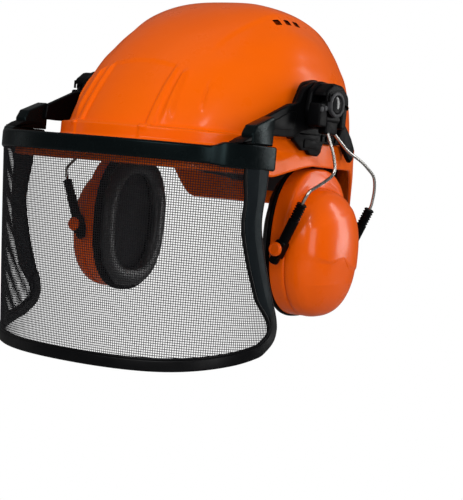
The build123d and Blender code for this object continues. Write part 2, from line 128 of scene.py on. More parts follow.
def rounded(corners, radius, steps=6):
    """Closed 2-D outline with its corners rounded; a corner may carry its own radius."""
    outline = []
    total = len(corners)
    for i in range(total):
        here = np.array(corners[i][:2], float)
        before = np.array(corners[i - 1][:2], float) - here
        after = np.array(corners[(i + 1) % total][:2], float) - here
        size = corners[i][2] if len(corners[i]) > 2 else radius
        half = math.acos(np.clip(before @ after / np.linalg.norm(before) / np.linalg.norm(after),
                                 -1, 1)) / 2
        cut = min(size / math.tan(half), 0.49 * min(np.linalg.norm(before), np.linalg.norm(after)))
        start = here + before / np.linalg.norm(before) * cut
        end = here + after / np.linalg.norm(after) * cut
        outline += corner_arc(start, here, end, [k / steps for k in range(steps + 1)])
    return np.array(outline)


def inset(outline, amount):
    """Closed counter-clockwise or clockwise outline moved inwards by an amount."""
    tangent = np.roll(outline, -1, 0) - np.roll(outline, 1, 0)
    tangent /= np.maximum(np.linalg.norm(tangent, axis=1), 1e-9)[:, None]
    normal = np.stack([-tangent[:, 1], tangent[:, 0]], 1)
    x, y = outline.T
    turning = np.sum(x * np.roll(y, -1) - np.roll(x, -1) * y)
    return outline + normal * amount * (1 if turning > 0 else -1)


def box(y_low, z_low, y_high, z_high):
    """Corners of an upright rectangle."""
    return [(y_low, z_low), (y_high, z_low), (y_high, z_high), (y_low, z_high)]


def at_x(x, outline):
    """Ring of a YZ outline at an X station."""
    return np.column_stack([np.full(len(outline), x), outline])


def add_object(name, data):
    thing = bpy.data.objects.new(name, data)
    bpy.context.scene.collection.objects.link(thing)
    return thing


def mesh_object(name, vertices, faces, smooth=True):
    """Object from vertices in millimetres."""
    mesh = bpy.data.meshes.new(name)
    mesh.from_pydata((np.asarray(vertices, float) * MM).tolist(), [], faces)
    mesh.update()
    piece = add_object(name, mesh)
    if smooth:
        mesh.polygons.foreach_set("use_smooth", [True] * len(mesh.polygons))
    return piece


def ring_faces(rings, around, closed_way=False, start=0):
    """Quads that join consecutive rings of `around` vertices."""
    faces = []
    for i in range(rings if closed_way else rings - 1):
        a = start + i * around
        b = start + ((i + 1) % rings) * around
        for j in range(around):
            k = (j + 1) % around
            faces.append((a + j, a + k, b + k, b + j))
    return faces


def loft(name, rings, caps=True, closed_way=False):
    """Closed piece through rings of equal vertex counts."""
    rings = np.asarray(rings, float)
    count, around = rings.shape[:2]
    faces = ring_faces(count, around, closed_way)
    if caps and not closed_way:
        faces.append(tuple(range(around))[::-1])
        faces.append(tuple(range((count - 1) * around, count * around)))
    piece = mesh_object(name, rings.reshape(-1, 3), faces)
    outwards(piece)
    sharpen(piece)
    return piece


def outwards(piece):
    """Turn the faces of a closed piece so that they all look out."""
    bm = bmesh.new()
    bm.from_mesh(piece.data)
    bmesh.ops.recalc_face_normals(bm, faces=bm.faces)
    bm.to_mesh(piece.data)
    bm.free()


def sharpen(piece, angle=38):
    """Smooth shading that breaks at edges sharper than an angle."""
    piece.data.set_sharp_from_angle(angle=math.radians(angle))


def plate(name, outline, low, high, edge=0.8, steps=3, shift=None):
    """Plate with rounded edges: an outline in YZ, between two X stations.

    shift(y, z) may move each vertex along X.
    """
    rings = []
    for side in (0, 1):
        turns = range(steps + 1) if side == 0 else range(steps, -1, -1)
        for k in turns:
            angle = 0.5 * math.pi * k / steps
            flat = inset(outline, edge * (1 - math.sin(angle)))
            x = low + edge * (1 - math.cos(angle)) if side == 0 else high - edge * (1 - math.cos(angle))
            rings.append(at_x(x, flat))
    rings = np.array(rings)
    if shift is not None:
        rings[..., 0] += shift(rings[..., 1], rings[..., 2])
    return loft(name, rings)


def tube(name, path, radius, around=10):
    """Round tube along a 3-D path; radius may be one number or one per station."""
    path = np.asarray(path, float)
    radius = np.broadcast_to(radius, len(path))
    tangent = tangents(path)
    side = np.cross(tangent[0], (0.31, 0.82, 0.47))
    rings = []
    for i in range(len(path)):
        side = side - tangent[i] * (side @ tangent[i])
        side /= np.linalg.norm(side)
        other = np.cross(tangent[i], side)
        angle = np.linspace(0, 2 * math.pi, around, endpoint=False)[:, None]
        rings.append(path[i] + radius[i] * (np.cos(angle) * side + np.sin(angle) * other))
    return loft(name, rings)


def finish_piece(piece, body, material, nodes, side=1):
    """Give a piece its body, material, CAD nodes and slot; side -1 mirrors a left-hand mesh first."""
    if side < 0:
        piece.data.transform(Matrix.Scale(-1, 4, (1, 0, 0)))
        piece.data.flip_normals()
    piece.data.materials.clear()
    piece.data.materials.append(material)
    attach(piece, body)
    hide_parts(*nodes)


# ---------------------------------------------------------------- materials
def new_material(name, colour, roughness, metallic=0.0, coat=0.0, specular=0.5, tint=(1, 1, 1)):
    material = bpy.data.materials.new(name)
    material.use_nodes = True
    shader = material.node_tree.nodes["Principled BSDF"]
    shader.inputs["Base Color"].default_value = (*colour, 1)
    shader.inputs["Roughness"].default_value = roughness
    shader.inputs["Metallic"].default_value = metallic
    shader.inputs["Coat Weight"].default_value = coat
    shader.inputs["Coat Roughness"].default_value = 0.12
    shader.inputs["Specular IOR Level"].default_value = specular
    shader.inputs["Specular Tint"].default_value = (*tint, 1)
    return material, shader


def texture_node(material, kind, place="Object", **values):
    """Texture node that follows the piece's own coordinates."""
    tree = material.node_tree
    node = tree.nodes.new(kind)
    for socket, value in values.items():
        node.inputs[socket].default_value = value
    coordinates = tree.nodes.new("ShaderNodeTexCoord")
    tree.links.new(coordinates.outputs[place], node.inputs["Vector"])
    return node


def noise_node(material, scale, detail):
    return texture_node(material, "ShaderNodeTexNoise", Scale=scale, Detail=detail, Roughness=0.55)


def vary(material, shader, noise, socket, low, high):
    """Drive a socket with a texture, between two numbers or two colours."""
    tree = material.node_tree
    if isinstance(low, tuple):
        mix = tree.nodes.new("ShaderNodeMix")
        mix.data_type = "RGBA"
        mix.inputs["A"].default_value = (*low, 1)
        mix.inputs["B"].default_value = (*high, 1)
        tree.links.new(noise.outputs["Fac"], mix.inputs["Factor"])
        tree.links.new(mix.outputs["Result"], shader.inputs[socket])
        return
    spread = tree.nodes.new("ShaderNodeMapRange")
    spread.inputs["From Min"].default_value = 0.3
    spread.inputs["From Max"].default_value = 0.7
    spread.inputs["To Min"].default_value = low
    spread.inputs["To Max"].default_value = high
    tree.links.new(noise.outputs["Fac"], spread.inputs["Value"])
    tree.links.new(spread.outputs["Result"], shader.inputs[socket])


def add_bump(material, shader, texture, strength, distance, output="Fac"):
    tree = material.node_tree
    node = tree.nodes.new("ShaderNodeBump")
    node.inputs["Strength"].default_value = strength
    node.inputs["Distance"].default_value = distance
    previous = shader.inputs["Normal"].links
    if previous:
        tree.links.new(previous[0].from_socket, node.inputs["Normal"])
    tree.links.new(texture.outputs[output], node.inputs["Height"])
    tree.links.new(node.outputs["Normal"], shader.inputs["Normal"])


def glossy_plastic(name, dark, light, roughness, coat):
    """Moulded ABS: even colour with faint flow marks, slight orange peel, handling marks."""
    material, shader = new_material(name, light, roughness, coat=coat, specular=0.08)
    vary(material, shader, noise_node(material, 9, 3), "Base Color", dark, light)
    vary(material, shader, noise_node(material, 45, 6), "Roughness", roughness * 0.8, roughness * 1.3)
    add_bump(material, shader, noise_node(material, 420, 2), 0.10, 0.0003)
    return material


def matt_plastic(name, dark, light, roughness, grain=1400, strength=0.25, specular=0.3, tint=(1, 1, 1)):
    """Spark-textured moulded plastic with a fine even grain."""
    material, shader = new_material(name, light, roughness, specular=specular, tint=tint)
    vary(material, shader, noise_node(material, 30, 5), "Base Color", dark, light)
    vary(material, shader, noise_node(material, 90, 4), "Roughness", roughness * 0.85, roughness * 1.15)
    add_bump(material, shader, noise_node(material, grain, 3), strength, 0.0002)
    return material


def drawn_steel(name):
    """Bright spring wire with fine drawing marks along its length."""
    material, shader = new_material(name, (0.40, 0.39, 0.37), 0.24, metallic=1.0)
    vary(material, shader, noise_node(material, 160, 5), "Base Color",
         (0.26, 0.25, 0.23), (0.48, 0.47, 0.45))
    vary(material, shader, noise_node(material, 600, 4), "Roughness", 0.16, 0.36)
    add_bump(material, shader, noise_node(material, 1500, 2), 0.15, 0.0001)
    return material


def skin(name, dark, light, roughness, crease=260):
    """Soft PVC or leather skin with fine pebbled creases."""
    material, shader = new_material(name, light, roughness, specular=0.45)
    vary(material, shader, noise_node(material, 60, 6), "Base Color", dark, light)
    vary(material, shader, noise_node(material, 200, 4), "Roughness", roughness * 0.8, roughness * 1.2)
    cells = texture_node(material, "ShaderNodeTexVoronoi", Scale=crease * 3)
    cells.feature = "DISTANCE_TO_EDGE"
    add_bump(material, shader, cells, 0.25, 0.0004, "Distance")
    add_bump(material, shader, noise_node(material, crease, 5), 0.3, 0.0008)
    return material


def open_foam(name):
    """Open-cell polyurethane foam."""
    material, shader = new_material(name, (0.03, 0.03, 0.033), 0.95, specular=0.1)
    cells = texture_node(material, "ShaderNodeTexVoronoi", Scale=900)
    vary(material, shader, noise_node(material, 500, 5), "Base Color",
         (0.012, 0.012, 0.014), (0.05, 0.05, 0.055))
    add_bump(material, shader, cells, 0.9, 0.0012, "Distance")
    return material


def webbing(name, dark, light):
    """Woven polyester tape: ribs across and along, following the tape's own UV."""
    material, shader = new_material(name, light, 0.75, specular=0.25)
    shader.inputs["Sheen Weight"].default_value = 0.3
    weave = texture_node(material, "ShaderNodeTexWave", "UV", Scale=1.0, Distortion=0.6)
    weave.wave_type = "BANDS"
    checks = texture_node(material, "ShaderNodeTexChecker", "UV", Scale=2.0)
    vary(material, shader, checks, "Base Color", dark, light)
    add_bump(material, shader, checks, 0.5, 0.0003)
    add_bump(material, shader, weave, 0.4, 0.0003)
    return material


TEAL = (0.62, 0.95, 1.0)
ORANGE_SHELL = glossy_plastic("orange_shell_abs", (0.80, 0.102, 0.0002), (0.88, 0.128, 0.0004), 0.30, 0.06)
ORANGE_CUP = glossy_plastic("orange_cup_abs", (0.78, 0.092, 0.0006), (0.86, 0.114, 0.001), 0.30, 0.20)
BLACK = matt_plastic("black_moulding", (0.0008, 0.0008, 0.001), (0.002, 0.002, 0.0024), 0.40, specular=0.05)
SLATE = matt_plastic("slate_moulding", (0.0022, 0.0032, 0.0034), (0.0022, 0.0036, 0.0041), 0.26,
                     specular=0.085, tint=TEAL)
STRIP = matt_plastic("side_strip_moulding", (0.005, 0.0062, 0.0075), (0.0075, 0.0092, 0.011), 0.42,
                     specular=0.07, tint=TEAL)
BINDING = matt_plastic("hem_edging", (0.0012, 0.0012, 0.0016), (0.003, 0.003, 0.0035), 0.38, 700, 0.15, 0.1)
HARNESS = matt_plastic("harness_moulding", (0.020, 0.020, 0.022), (0.036, 0.036, 0.040), 0.5)
WIRE_STEEL = drawn_steel("spring_wire")
MESH_WIRE = matt_plastic("coated_mesh_wire", (0.006, 0.006, 0.007), (0.010, 0.010, 0.012), 0.4,
                         2500, 0.1, 0.15)
CUSHION = skin("cushion_skin", (0.006, 0.006, 0.007), (0.014, 0.014, 0.015), 0.38)
LEATHER = skin("sweatband_leather", (0.045, 0.028, 0.018), (0.075, 0.046, 0.028), 0.6, 180)
FOAM = open_foam("acoustic_foam")
PIN = glossy_plastic("pin_head", (0.008, 0.008, 0.009), (0.016, 0.016, 0.017), 0.18, 0.3)
THREAD = matt_plastic("stitch_thread", (0.20, 0.17, 0.13), (0.34, 0.30, 0.24), 0.75, 3000, 0.4)
TAPE = webbing("cradle_webbing", (0.30, 0.30, 0.29), (0.52, 0.52, 0.50))


# ---------------------------------------------------------------- helmet shell
def superoval(angle, side, front, rear, front_power, rear_power):
    """Plan outline of two superellipse halves, one point for each angle."""
    power = np.where(np.sin(angle) > 0, rear_power, front_power)
    reach = np.where(np.sin(angle) > 0, rear, front)
    x = side * signed_power(np.cos(angle), 2 / power)
    y = CENTRE_Y + reach * signed_power(np.sin(angle), 2 / power)
    return x, y


def swell(height, shape, top):
    reach, foot, p, q = shape
    rise = np.clip((height - foot) / (top - foot), 0, 1)
    return reach * (1 - rise ** p) ** (1 / q)


def reaches(height, inward):
    """Side, front and rear reach of the dome at a height."""
    top = DOME_TOP - inward
    return [swell(height, shape, top) * (1 - inward / shape[0])
            for shape in (SIDE_SWELL, FRONT_SWELL, REAR_SWELL)]


def hem_height(y):
    """Lower edge of the shell: level in front, raised over the ears, deep at the nape."""
    return -20 + 11 * ramp(y, -58, -16) - 33 * ramp(y, 57, 84)


def relief(x, y, z):
    """Moulded detail of the dome, as a height in millimetres above the plain surface."""
    across = np.abs(x)
    front = ramp(-y, 10, 30)
    # Raised crown band with a hollow below its edge, deepest beside the vents
    edge = 48 + 9 * ramp(y, -70, -10) + 2 * ramp(y, 0, 60)
    along = ramp(y, -84, -52) * (1 - ramp(y, 66, 92)) * ramp(z, 60, 72)
    height = -along * (0.9 - 1.1 * (1 - ramp(across, edge - 2.0, edge + 3.5)))
    hollow = ramp(y, -50, -14) * (1 - ramp(y, 26, 52))
    height = height - 1.3 * hollow * bump(across, edge + 12, 7.5) * ramp(z, 70, 82)
    # Forehead panel, slightly sunk, with a crisp upper edge
    panel_top = 58.5 - 4.0 * (across / 33) ** 2
    panel = (1 - ramp(across, 31.2, 32.4)) * (1 - ramp(z, panel_top - 0.5, panel_top + 0.7))
    height = height - 0.95 * panel * front
    # Rib beside the panel
    left = 30.6 + 1.6 * (53 - z) / 50
    right = 34.0 + 4.2 * (53 - z) / 50
    rib = ramp(across, left - 0.4, left + 0.5) * (1 - ramp(across, right - 0.5, right + 0.4))
    height = height + 1.25 * rib * front * (1 - ramp(z, 52, 57)) * ramp(z, 3, 10)
    # Ridge shaped like an A: steep inner side, long outer side, rounded apex
    inner = 38.6 + 0.6 * (53 - z) / 40
    outer = 43.5 + 7.5 * ramp(53 - z, -3, 46)
    crest = inner + 0.36 * (outer - inner)
    rise = np.where(across < crest, ramp(across, inner - 0.3, crest), 1 - ramp(across, crest, outer + 0.3))
    height = height + 2.6 * rise * front * (1 - ramp(z, 47, 55)) * ramp(z, 5, 22)
    # Short crease further round
    third = 59.4 + 3.2 * (48 - z) / 25
    height = height + 1.3 * bump(across, third, 1.0) * front * ramp(z, 20, 30) * (1 - ramp(z, 40, 49))
    return height


def shell_surface(columns, dome_rows, wall_rows, inward):
    """Grid of the shell's outer (inward 0) or inner surface, from the crown to the hem."""
    even_step = 2 * math.pi * (np.arange(columns) + 0.5) / columns
    angle = even_step - 0.35 * np.cos(even_step)      # closer together over the forehead's fine relief
    top = DOME_TOP - inward
    p, q = SIDE_SWELL[2:]
    fraction = np.linspace(0.02, 0.9999, 4000)
    height = SIDE_SWELL[1] + (top - SIDE_SWELL[1]) * (1 - fraction ** q) ** (1 / p)
    profile = np.stack([fraction * SIDE_SWELL[0], height], 1)
    profile = even(profile[height > DOME_FOOT + 2 - inward], dome_rows)
    rows = []
    for z in profile[:, 1]:
        x, y = superoval(angle, *reaches(z, inward), 2.15, 2.15)
        rows.append(np.stack([x, y, np.full(columns, z)], 1))
    ledge_reach = [swell(DOME_FOOT, shape, DOME_TOP) + width - inward
                   for shape, width in zip((SIDE_SWELL, FRONT_SWELL, REAR_SWELL), LEDGE)]
    ledge_x, ledge_y = superoval(angle, *ledge_reach, 2.15, 2.15)
    peak_x, peak_y = superoval(angle, PEAK_WIDTH - inward, PEAK_FRONT - inward, ledge_reach[2], 4.5, 2.15)
    foot_x, foot_y = superoval(angle, *reaches(DOME_FOOT + 1 - inward, inward), 2.15, 2.15)
    for blend, drop in ((0.04, 1.0), (0.12, 0.5), (0.25, 0.2), (0.45, 0.05), (0.65, 0.0), (0.8, -0.05),
                        (0.9, -0.25), (0.96, -0.6), (0.99, -1.1), (1.0, -1.8)):
        x = foot_x + blend * (ledge_x - foot_x)
        y = foot_y + blend * (ledge_y - foot_y)
        rows.append(np.stack([x, y, np.full(columns, DOME_FOOT - inward + drop)], 1))
    hem = hem_height(peak_y)
    start = DOME_FOOT - 1.8 - inward
    for k in range(1, wall_rows + 1):
        z = start + (hem - start) * k / wall_rows
        slope = np.clip((PEAK_ROOT - inward - z) / (PEAK_ROOT - PEAK_EDGE), 0, 1)
        blend = 0.5 * slope + 0.5 * ramp(slope, 0, 1)
        rows.append(np.stack([ledge_x + blend * (peak_x - ledge_x),
                              ledge_y + blend * (peak_y - ledge_y), z], 1))
    return np.array(rows)


def grid_normals(grid):
    down = np.gradient(grid, axis=0)
    around = np.roll(grid, -1, 1) - np.roll(grid, 1, 1)
    normal = np.cross(down, around)
    normal /= np.maximum(np.linalg.norm(normal, axis=2), 1e-9)[..., None]
    outward = grid - np.array((0, CENTRE_Y, 20))
    return normal * np.sign(np.sum(normal * outward, axis=2))[..., None]


def build_shell():
    columns = 400
    outer = shell_surface(columns, 118, 26, 0)
    height = relief(outer[..., 0], outer[..., 1], outer[..., 2])
    outer = outer + grid_normals(outer) * height[..., None]
    inner = shell_surface(columns, 26, 14, WALL)
    # A rolled lip joins the two surfaces along the hem
    out_edge, in_edge = outer[-1], inner[-1]
    middle = (out_edge + in_edge) / 2
    lip = []
    for turn in (30, 60, 90, 120, 150):
        sway = math.cos(math.radians(turn))
        drop = math.sin(math.radians(turn)) * np.array((0, 0, -1.1))
        lip.append(middle + (out_edge - middle) * sway + drop)
    rings = np.concatenate([outer, np.array(lip), inner[::-1]])
    count = len(rings)
    vertices = rings.reshape(-1, 3)
    faces = ring_faces(count, columns)
    crown = np.array([outer[0].mean(0) + (0, 0, 0.03), inner[0].mean(0) + (0, 0, 0.03)])
    vertices = np.vstack([vertices, crown])
    last = (count - 1) * columns
    for j in range(columns):
        k = (j + 1) % columns
        faces.append((len(vertices) - 2, k, j))
        faces.append((len(vertices) - 1, last + j, last + k))
    shell = mesh_object("shell_moulding", vertices, faces)
    outwards(shell)
    cut_vents(shell)
    sharpen(shell, 50)
    return shell


VENT_X = 64.0
VENT_Y = (-10.0, 1.5, 13.0)
VENT_Z = 100.0


def vents():
    """Turn and centre of each of the six vents, three high on each side."""
    for side in (-1, 1):
        for y in VENT_Y:
            yield Matrix.Rotation(math.radians(side * 40), 3, "Y"), Vector((side * VENT_X, y, VENT_Z))


def cut_vents(shell):
    """Cut the square vents right through the wall."""
    corners = rounded(box(-3.0, -3.2, 3.0, 3.2), 0.8, 3)
    n = len(corners)
    vertices, faces = [], []
    for turn, centre in vents():
        count = len(vertices)
        for depth in (-9, 9):
            vertices += [tuple(turn @ Vector((u, v, depth)) + centre) for u, v in corners]
        faces += ring_faces(2, n, start=count)
        faces.append(tuple(range(count, count + n))[::-1])
        faces.append(tuple(range(count + n, count + 2 * n)))
    cutter = mesh_object("vent_cutter", vertices, faces, smooth=False)
    outwards(cutter)
    modifier = shell.modifiers.new("vents", "BOOLEAN")
    modifier.object = cutter
    modifier.operation = "DIFFERENCE"
    modifier.solver = "EXACT"
    apply_modifiers(shell)
    bpy.data.objects.remove(cutter)


def apply_modifiers(piece):
    graph = bpy.context.evaluated_depsgraph_get()
    result = bpy.data.meshes.new_from_object(piece.evaluated_get(graph))
    old = piece.data
    piece.modifiers.clear()
    piece.data = result
    bpy.data.meshes.remove(old)


def paint_vent_shade(shell):
    """Paint the cut walls of the vents black as painted shade; the real holes are orange-walled and look
    dark only from the shadow inside them.
    """
    shell.data.materials.append(BLACK)
    for turn, centre in vents():
        back = turn.transposed()
        for face in shell.data.polygons:
            spot = back @ (face.center - MM * centre)
            near = max(abs(spot.x), abs(spot.y), abs(spot.z)) < 0.0045
            if near and abs((back @ face.normal).z) < 0.4:
                # painted shade: the vent wall faces take the black material in place of the shadow inside
                # the holes
                face.material_index = 1


shell = build_shell()
finish_piece(shell, "helmet", ORANGE_SHELL, ["shell"])
paint_vent_shade(shell)


# ---------------------------------------------------------------- curved wall of the visor
BAR_U = (120.5, -160.5, -75.0, 2.55)      # half width, front, rear and power of the brow bar in plan
HEM_U = (122.5, -151.0, -60.0, 2.15)
MESH_TOP = -17.0
MESH_FOOT = -169.0
STRIP_FOOT = -130.0


def wall_plan(z):
    """Half width, front-to-rear depth, rear station and power of the visor at a height."""
    t = (np.asarray(z, float) - MESH_FOOT) / (MESH_TOP - MESH_FOOT)
    top = (BAR_U[0] - 2, BAR_U[1] + 2, BAR_U[2], BAR_U[3])
    width, front, rear, power = (low + (high - low) * t for low, high in zip(HEM_U, top))
    return width, rear - front, rear, power


def wall_x(y, z, offset=0.0):
    """Sideways position of the left-hand half of the wall."""
    width, depth, rear, power = wall_plan(z)
    ahead = np.clip((rear - y) / (depth + offset), 0, 1)
    return (width + offset) * (1 - ahead ** power) ** (1 / power)


def wall_y(x, z, offset=0.0):
    """Fore-and-aft position of the front of the wall."""
    width, depth, rear, power = wall_plan(z)
    return rear - (depth + offset) * (1 - np.clip(abs(x) / (width + offset), 0, 1) ** power) ** (1 / power)


def wall_ring(z, count, tail=-45.0):
    """The wall's outline at a height, from the right-hand end round to the left."""
    width, depth, rear, power = wall_plan(z)
    angle = np.linspace(math.pi, 0, 240)
    x = width * signed_power(np.cos(angle), 2 / power)
    y = rear - depth * np.sin(angle).clip(0, 1) ** (2 / power)
    ring = np.column_stack([np.r_[-width, x, width], np.r_[tail, y, tail], np.full(242, float(z))])
    return even(ring, count)


REAR_EDGE = flow([(-80, 5), (-81, -25), (-84, -55), (-77, -82), (-67, -106), (-58, -126), (-59, -139),
                  (-72, -150)], 160)
HEM_EDGE = flow([(-72, -150), (-98, -157.5), (-135, -165.5), (-175, -168)], 120)


def rear_edge(z):
    order = np.argsort(REAR_EDGE[:, 1])
    return np.interp(z, REAR_EDGE[order, 1], REAR_EDGE[order, 0])


def hem_at(y):
    return np.interp(-np.asarray(y), -HEM_EDGE[:, 0], HEM_EDGE[:, 1])


def hem_path():
    """Edge of the mesh from the left-hand strip round the corner and the front to the right."""
    side = [(wall_x(y, z), y, z) for y, z in REAR_EDGE if z < STRIP_FOOT + 14]
    side += [(wall_x(y, z), y, z) for y, z in HEM_EDGE[1:] if y > -116]
    front = []
    for x in np.linspace(side[-1][0] - 2, 0, 40):
        z = -165.0
        for _ in range(4):
            z = hem_at(wall_y(x, z))
        front.append((x, wall_y(x, z), z))
    half = np.array(side + front)
    other = half[-2::-1] * (-1, 1, 1)
    return even(np.vstack([half, other]), 260)


def smooth_rows(points, passes):
    for _ in range(passes):
        points[1:-1] = (points[:-2] + 2 * points[1:-1] + points[2:]) / 4
    return points


def wall_normal(point):
    """Outward direction of the wall at a point of it."""
    x, y, z = point
    width, depth, rear, power = wall_plan(z)
    ahead = max((rear - y) / depth, 0.0)
    normal = np.array((np.sign(x) * (abs(x) / width) ** (power - 1) / width,
                       -ahead ** (power - 1) / depth, 0.0))
    return normal / np.linalg.norm(normal)


def wall_sweep(name, path, section, inward=1):
    """Sweep a section along a path on the wall; section points are (along the wall, out of it)."""
    path = np.asarray(path, float)
    rings = []
    for point, along in zip(path, tangents(path)):
        out = wall_normal(point)
        across = np.cross(out, along) * inward
        across /= np.linalg.norm(across)
        rings.append([point + u * across + v * out for u, v in section])
    return loft(name, rings)


def mesh_wires():
    """Woven black wire mesh: one piece for the upright wires and one for the level ones."""
    pitch = 1.75
    radius = 0.26
    stations = np.linspace(MESH_TOP + 3, MESH_FOOT, 30)
    count = int(np.linalg.norm(np.diff(wall_ring(-90, 400), axis=0), axis=1).sum() / pitch)
    rings = np.array([wall_ring(z, count) for z in stations])
    uprights, levels = [], []
    for j in range(count):
        uprights += runs_inside(rings[:, j], 0.25)
    for z in np.arange(MESH_TOP + 1.5, MESH_FOOT, -pitch):
        levels += runs_inside(wall_ring(z, 110), -0.25)
    return bundle("mesh_upright_wires", uprights, radius), bundle("mesh_level_wires", levels, radius)


def runs_inside(points, offset):
    """Stretches of a wire that lie inside the mesh's outline, moved off the wall by half a wire."""
    x, y, z = points.T
    inside = (y < rear_edge(np.maximum(z, -149)) - 2) & (z > hem_at(np.minimum(y, -72)) + 2)
    runs, run = [], []
    for point, keep in zip(points, inside):
        if keep:
            run.append(point + wall_normal(point) * offset)
        elif run:
            runs.append(run)
            run = []
    runs.append(run)
    return [np.array(each) for each in runs if len(each) > 2]


def bundle(name, paths, radius):
    """One mesh of many thin four-sided wires."""
    vertices, faces, start = [], [], 0
    for path in paths:
        tangent = tangents(path)
        side = np.cross(tangent, (0.3, 0.2, 0.9) if abs(tangent[0][2]) < 0.7 else (0.9, 0.3, 0.1))
        side /= np.linalg.norm(side, axis=1)[:, None]
        other = np.cross(tangent, side)
        ring = np.stack([path + radius * (math.cos(a) * side + math.sin(a) * other)
                         for a in (0, math.pi / 2, math.pi, 1.5 * math.pi)], 1)
        vertices.append(ring.reshape(-1, 3))
        faces += ring_faces(len(path), 4, start=start)
        start += 4 * len(path)
    return mesh_object(name, np.vstack(vertices), faces)


uprights, levels = mesh_wires()
finish_piece(uprights, "visor", MESH_WIRE, ["visor_mesh"])
finish_piece(levels, "visor", MESH_WIRE, ["visor_mesh"])

# Hem edging: a soft channel folded over the mesh, with a bead along its inner edge
HEM = smooth_rows(hem_path(), 3)
CHANNEL = rounded([(-1.6, -1.7), (-1.6, 2.3), (6.8, 2.0), (6.8, -1.5)], 1.2, 4)
BEAD = [(7.3 + 1.1 * math.cos(a), 0.6 + 1.1 * math.sin(a)) for a in np.linspace(0, 2 * math.pi, 10, False)]
hem_edging = wall_sweep("hem_edging", HEM, CHANNEL, -1)
finish_piece(hem_edging, "visor", BINDING, ["visor_hem_binding"])
finish_piece(wall_sweep("hem_bead", HEM, BEAD, -1), "visor", BINDING, ["visor_hem_binding"])

# Side strips with a black bead down both edges
for name, side in SIDES:
    heights = np.linspace(MESH_TOP + 8, STRIP_FOOT - 2, 60)
    rings, inner_line, outer_line = [], [], []
    for z in heights:
        edge = float(rear_edge(min(z, 4)))
        taper = float(ramp(-z, 108, 130))
        width = (15.0 + 5.5 * float(ramp(z, -46, -18))) * (1 - 0.55 * taper)
        proud = 3.0 - 1.3 * taper
        ring = []
        for u, v in rounded([(0.2, 0.4), (0.2, proud - 0.5), (0.5 * width, proud), (width, proud - 0.6),
                             (width, 0.4)], 0.7, 3):
            y = edge - u
            ring.append((wall_x(y, z, v), y, z))
        rings.append(ring)
        inner_line.append((wall_x(edge - width - 0.9, z, 0.9), edge - width - 0.9, z))
        outer_line.append((wall_x(edge + 0.4, z, 0.9), edge + 0.4, z))
    nodes = [f"visor_side_strip_{name}"]
    finish_piece(loft(f"strip_{name}", rings), "visor", STRIP, nodes, side)
    for label, line in (("inner", inner_line), ("outer", outer_line)):
        bead = tube(f"strip_bead_{label}_{name}", line, 1.5, 10)
        finish_piece(bead, "visor", BINDING, nodes, side)


# ---------------------------------------------------------------- brow bar and its end blocks
def bar_frame(count, tail):
    """Stations along the bar's outer face, from the right-hand end round to the left, and their normals."""
    width, front, rear, power = BAR_U
    angle = np.linspace(math.pi, 0, 300)
    x = width * signed_power(np.cos(angle), 2 / power)
    y = rear - (rear - front) * np.sin(angle).clip(0, 1) ** (2 / power)
    path = even(np.column_stack([np.r_[-width, x, width], np.r_[tail, y, tail]]), count)
    tangent = tangents(path)
    return path, np.stack([tangent[:, 1], -tangent[:, 0]], 1)


def bar_sweep(name, path, normals, sections):
    """Loft sections of (out of the face, height) points along the bar."""
    rings = [[(*(point + out * n), z) for out, z in section]
             for point, n, section in zip(path, normals, sections)]
    return loft(name, rings)


path, normals = bar_frame(220, -73.5)
bar_section = rounded([(0, -15.8, 1.6), (0, -4.6, 1.6), (-0.9, -3.0, 1.0), (-6, -3.0, 1.0), (-6, -9.5, 0.8),
                       (-4.4, -9.5, 0.5), (-4.4, -16, 0.6)], 1.0, 4)
bar = bar_sweep("brow_bar", path, normals, [bar_section] * len(path))
finish_piece(bar, "visor", SLATE, ["visor_bar"])

for name, side in SIDES:
    left = path[:, 0] > 60
    spots = [i for i in np.flatnonzero(left) if path[i, 1] > -128]
    sections = []
    for i in spots:
        rise = float(ramp(path[i, 1], -127.5, -119))
        tail = float(ramp(path[i, 1], -74.5, -73.2))
        grow = 0.35 + 0.95 * rise - 0.7 * tail
        top, foot = -2.7 + 3.2 * rise - 0.8 * tail, -16.2 - 0.8 * rise + 0.8 * tail
        sections.append(rounded([(grow, foot, 1.4), (grow, top, 1.4), (-6 - grow, top, 1.2),
                                 (-6 - grow, foot, 1.2)], 1.2, 4))
    block = bar_sweep(f"end_block_{name}", path[spots], normals[spots], sections)
    finish_piece(block, "visor", SLATE, [f"visor_end_block_{name}"], side)


# ---------------------------------------------------------------- arms, adapters and hubs
def join(name, pieces):
    """Merge several meshes into one piece."""
    bm = bmesh.new()
    for piece in pieces:
        bm.from_mesh(piece.data)
        bpy.data.objects.remove(piece)
    mesh = bpy.data.meshes.new(name)
    bm.to_mesh(mesh)
    bm.free()
    result = add_object(name, mesh)
    sharpen(result)
    return result


def circle(y, z, radius, count=48, start=0.0):
    angle = start + np.linspace(0, 2 * math.pi, count, endpoint=False)
    return np.column_stack([y + radius * np.cos(angle), z + radius * np.sin(angle)])


def lathe_x(name, y, z, profile, count=48):
    """Turned piece about an axis along X, from (x, radius) points."""
    return loft(name, [at_x(x, circle(y, z, r, count)) for x, r in profile])


def lathe_y(name, x, z, profile, count=40):
    """Turned piece about an axis along Y, from (y, radius) points."""
    rings = []
    for y, r in profile:
        ring = circle(x, z, r, count)
        rings.append(np.column_stack([ring[:, 0], np.full(count, y), ring[:, 1]]))
    return loft(name, rings)


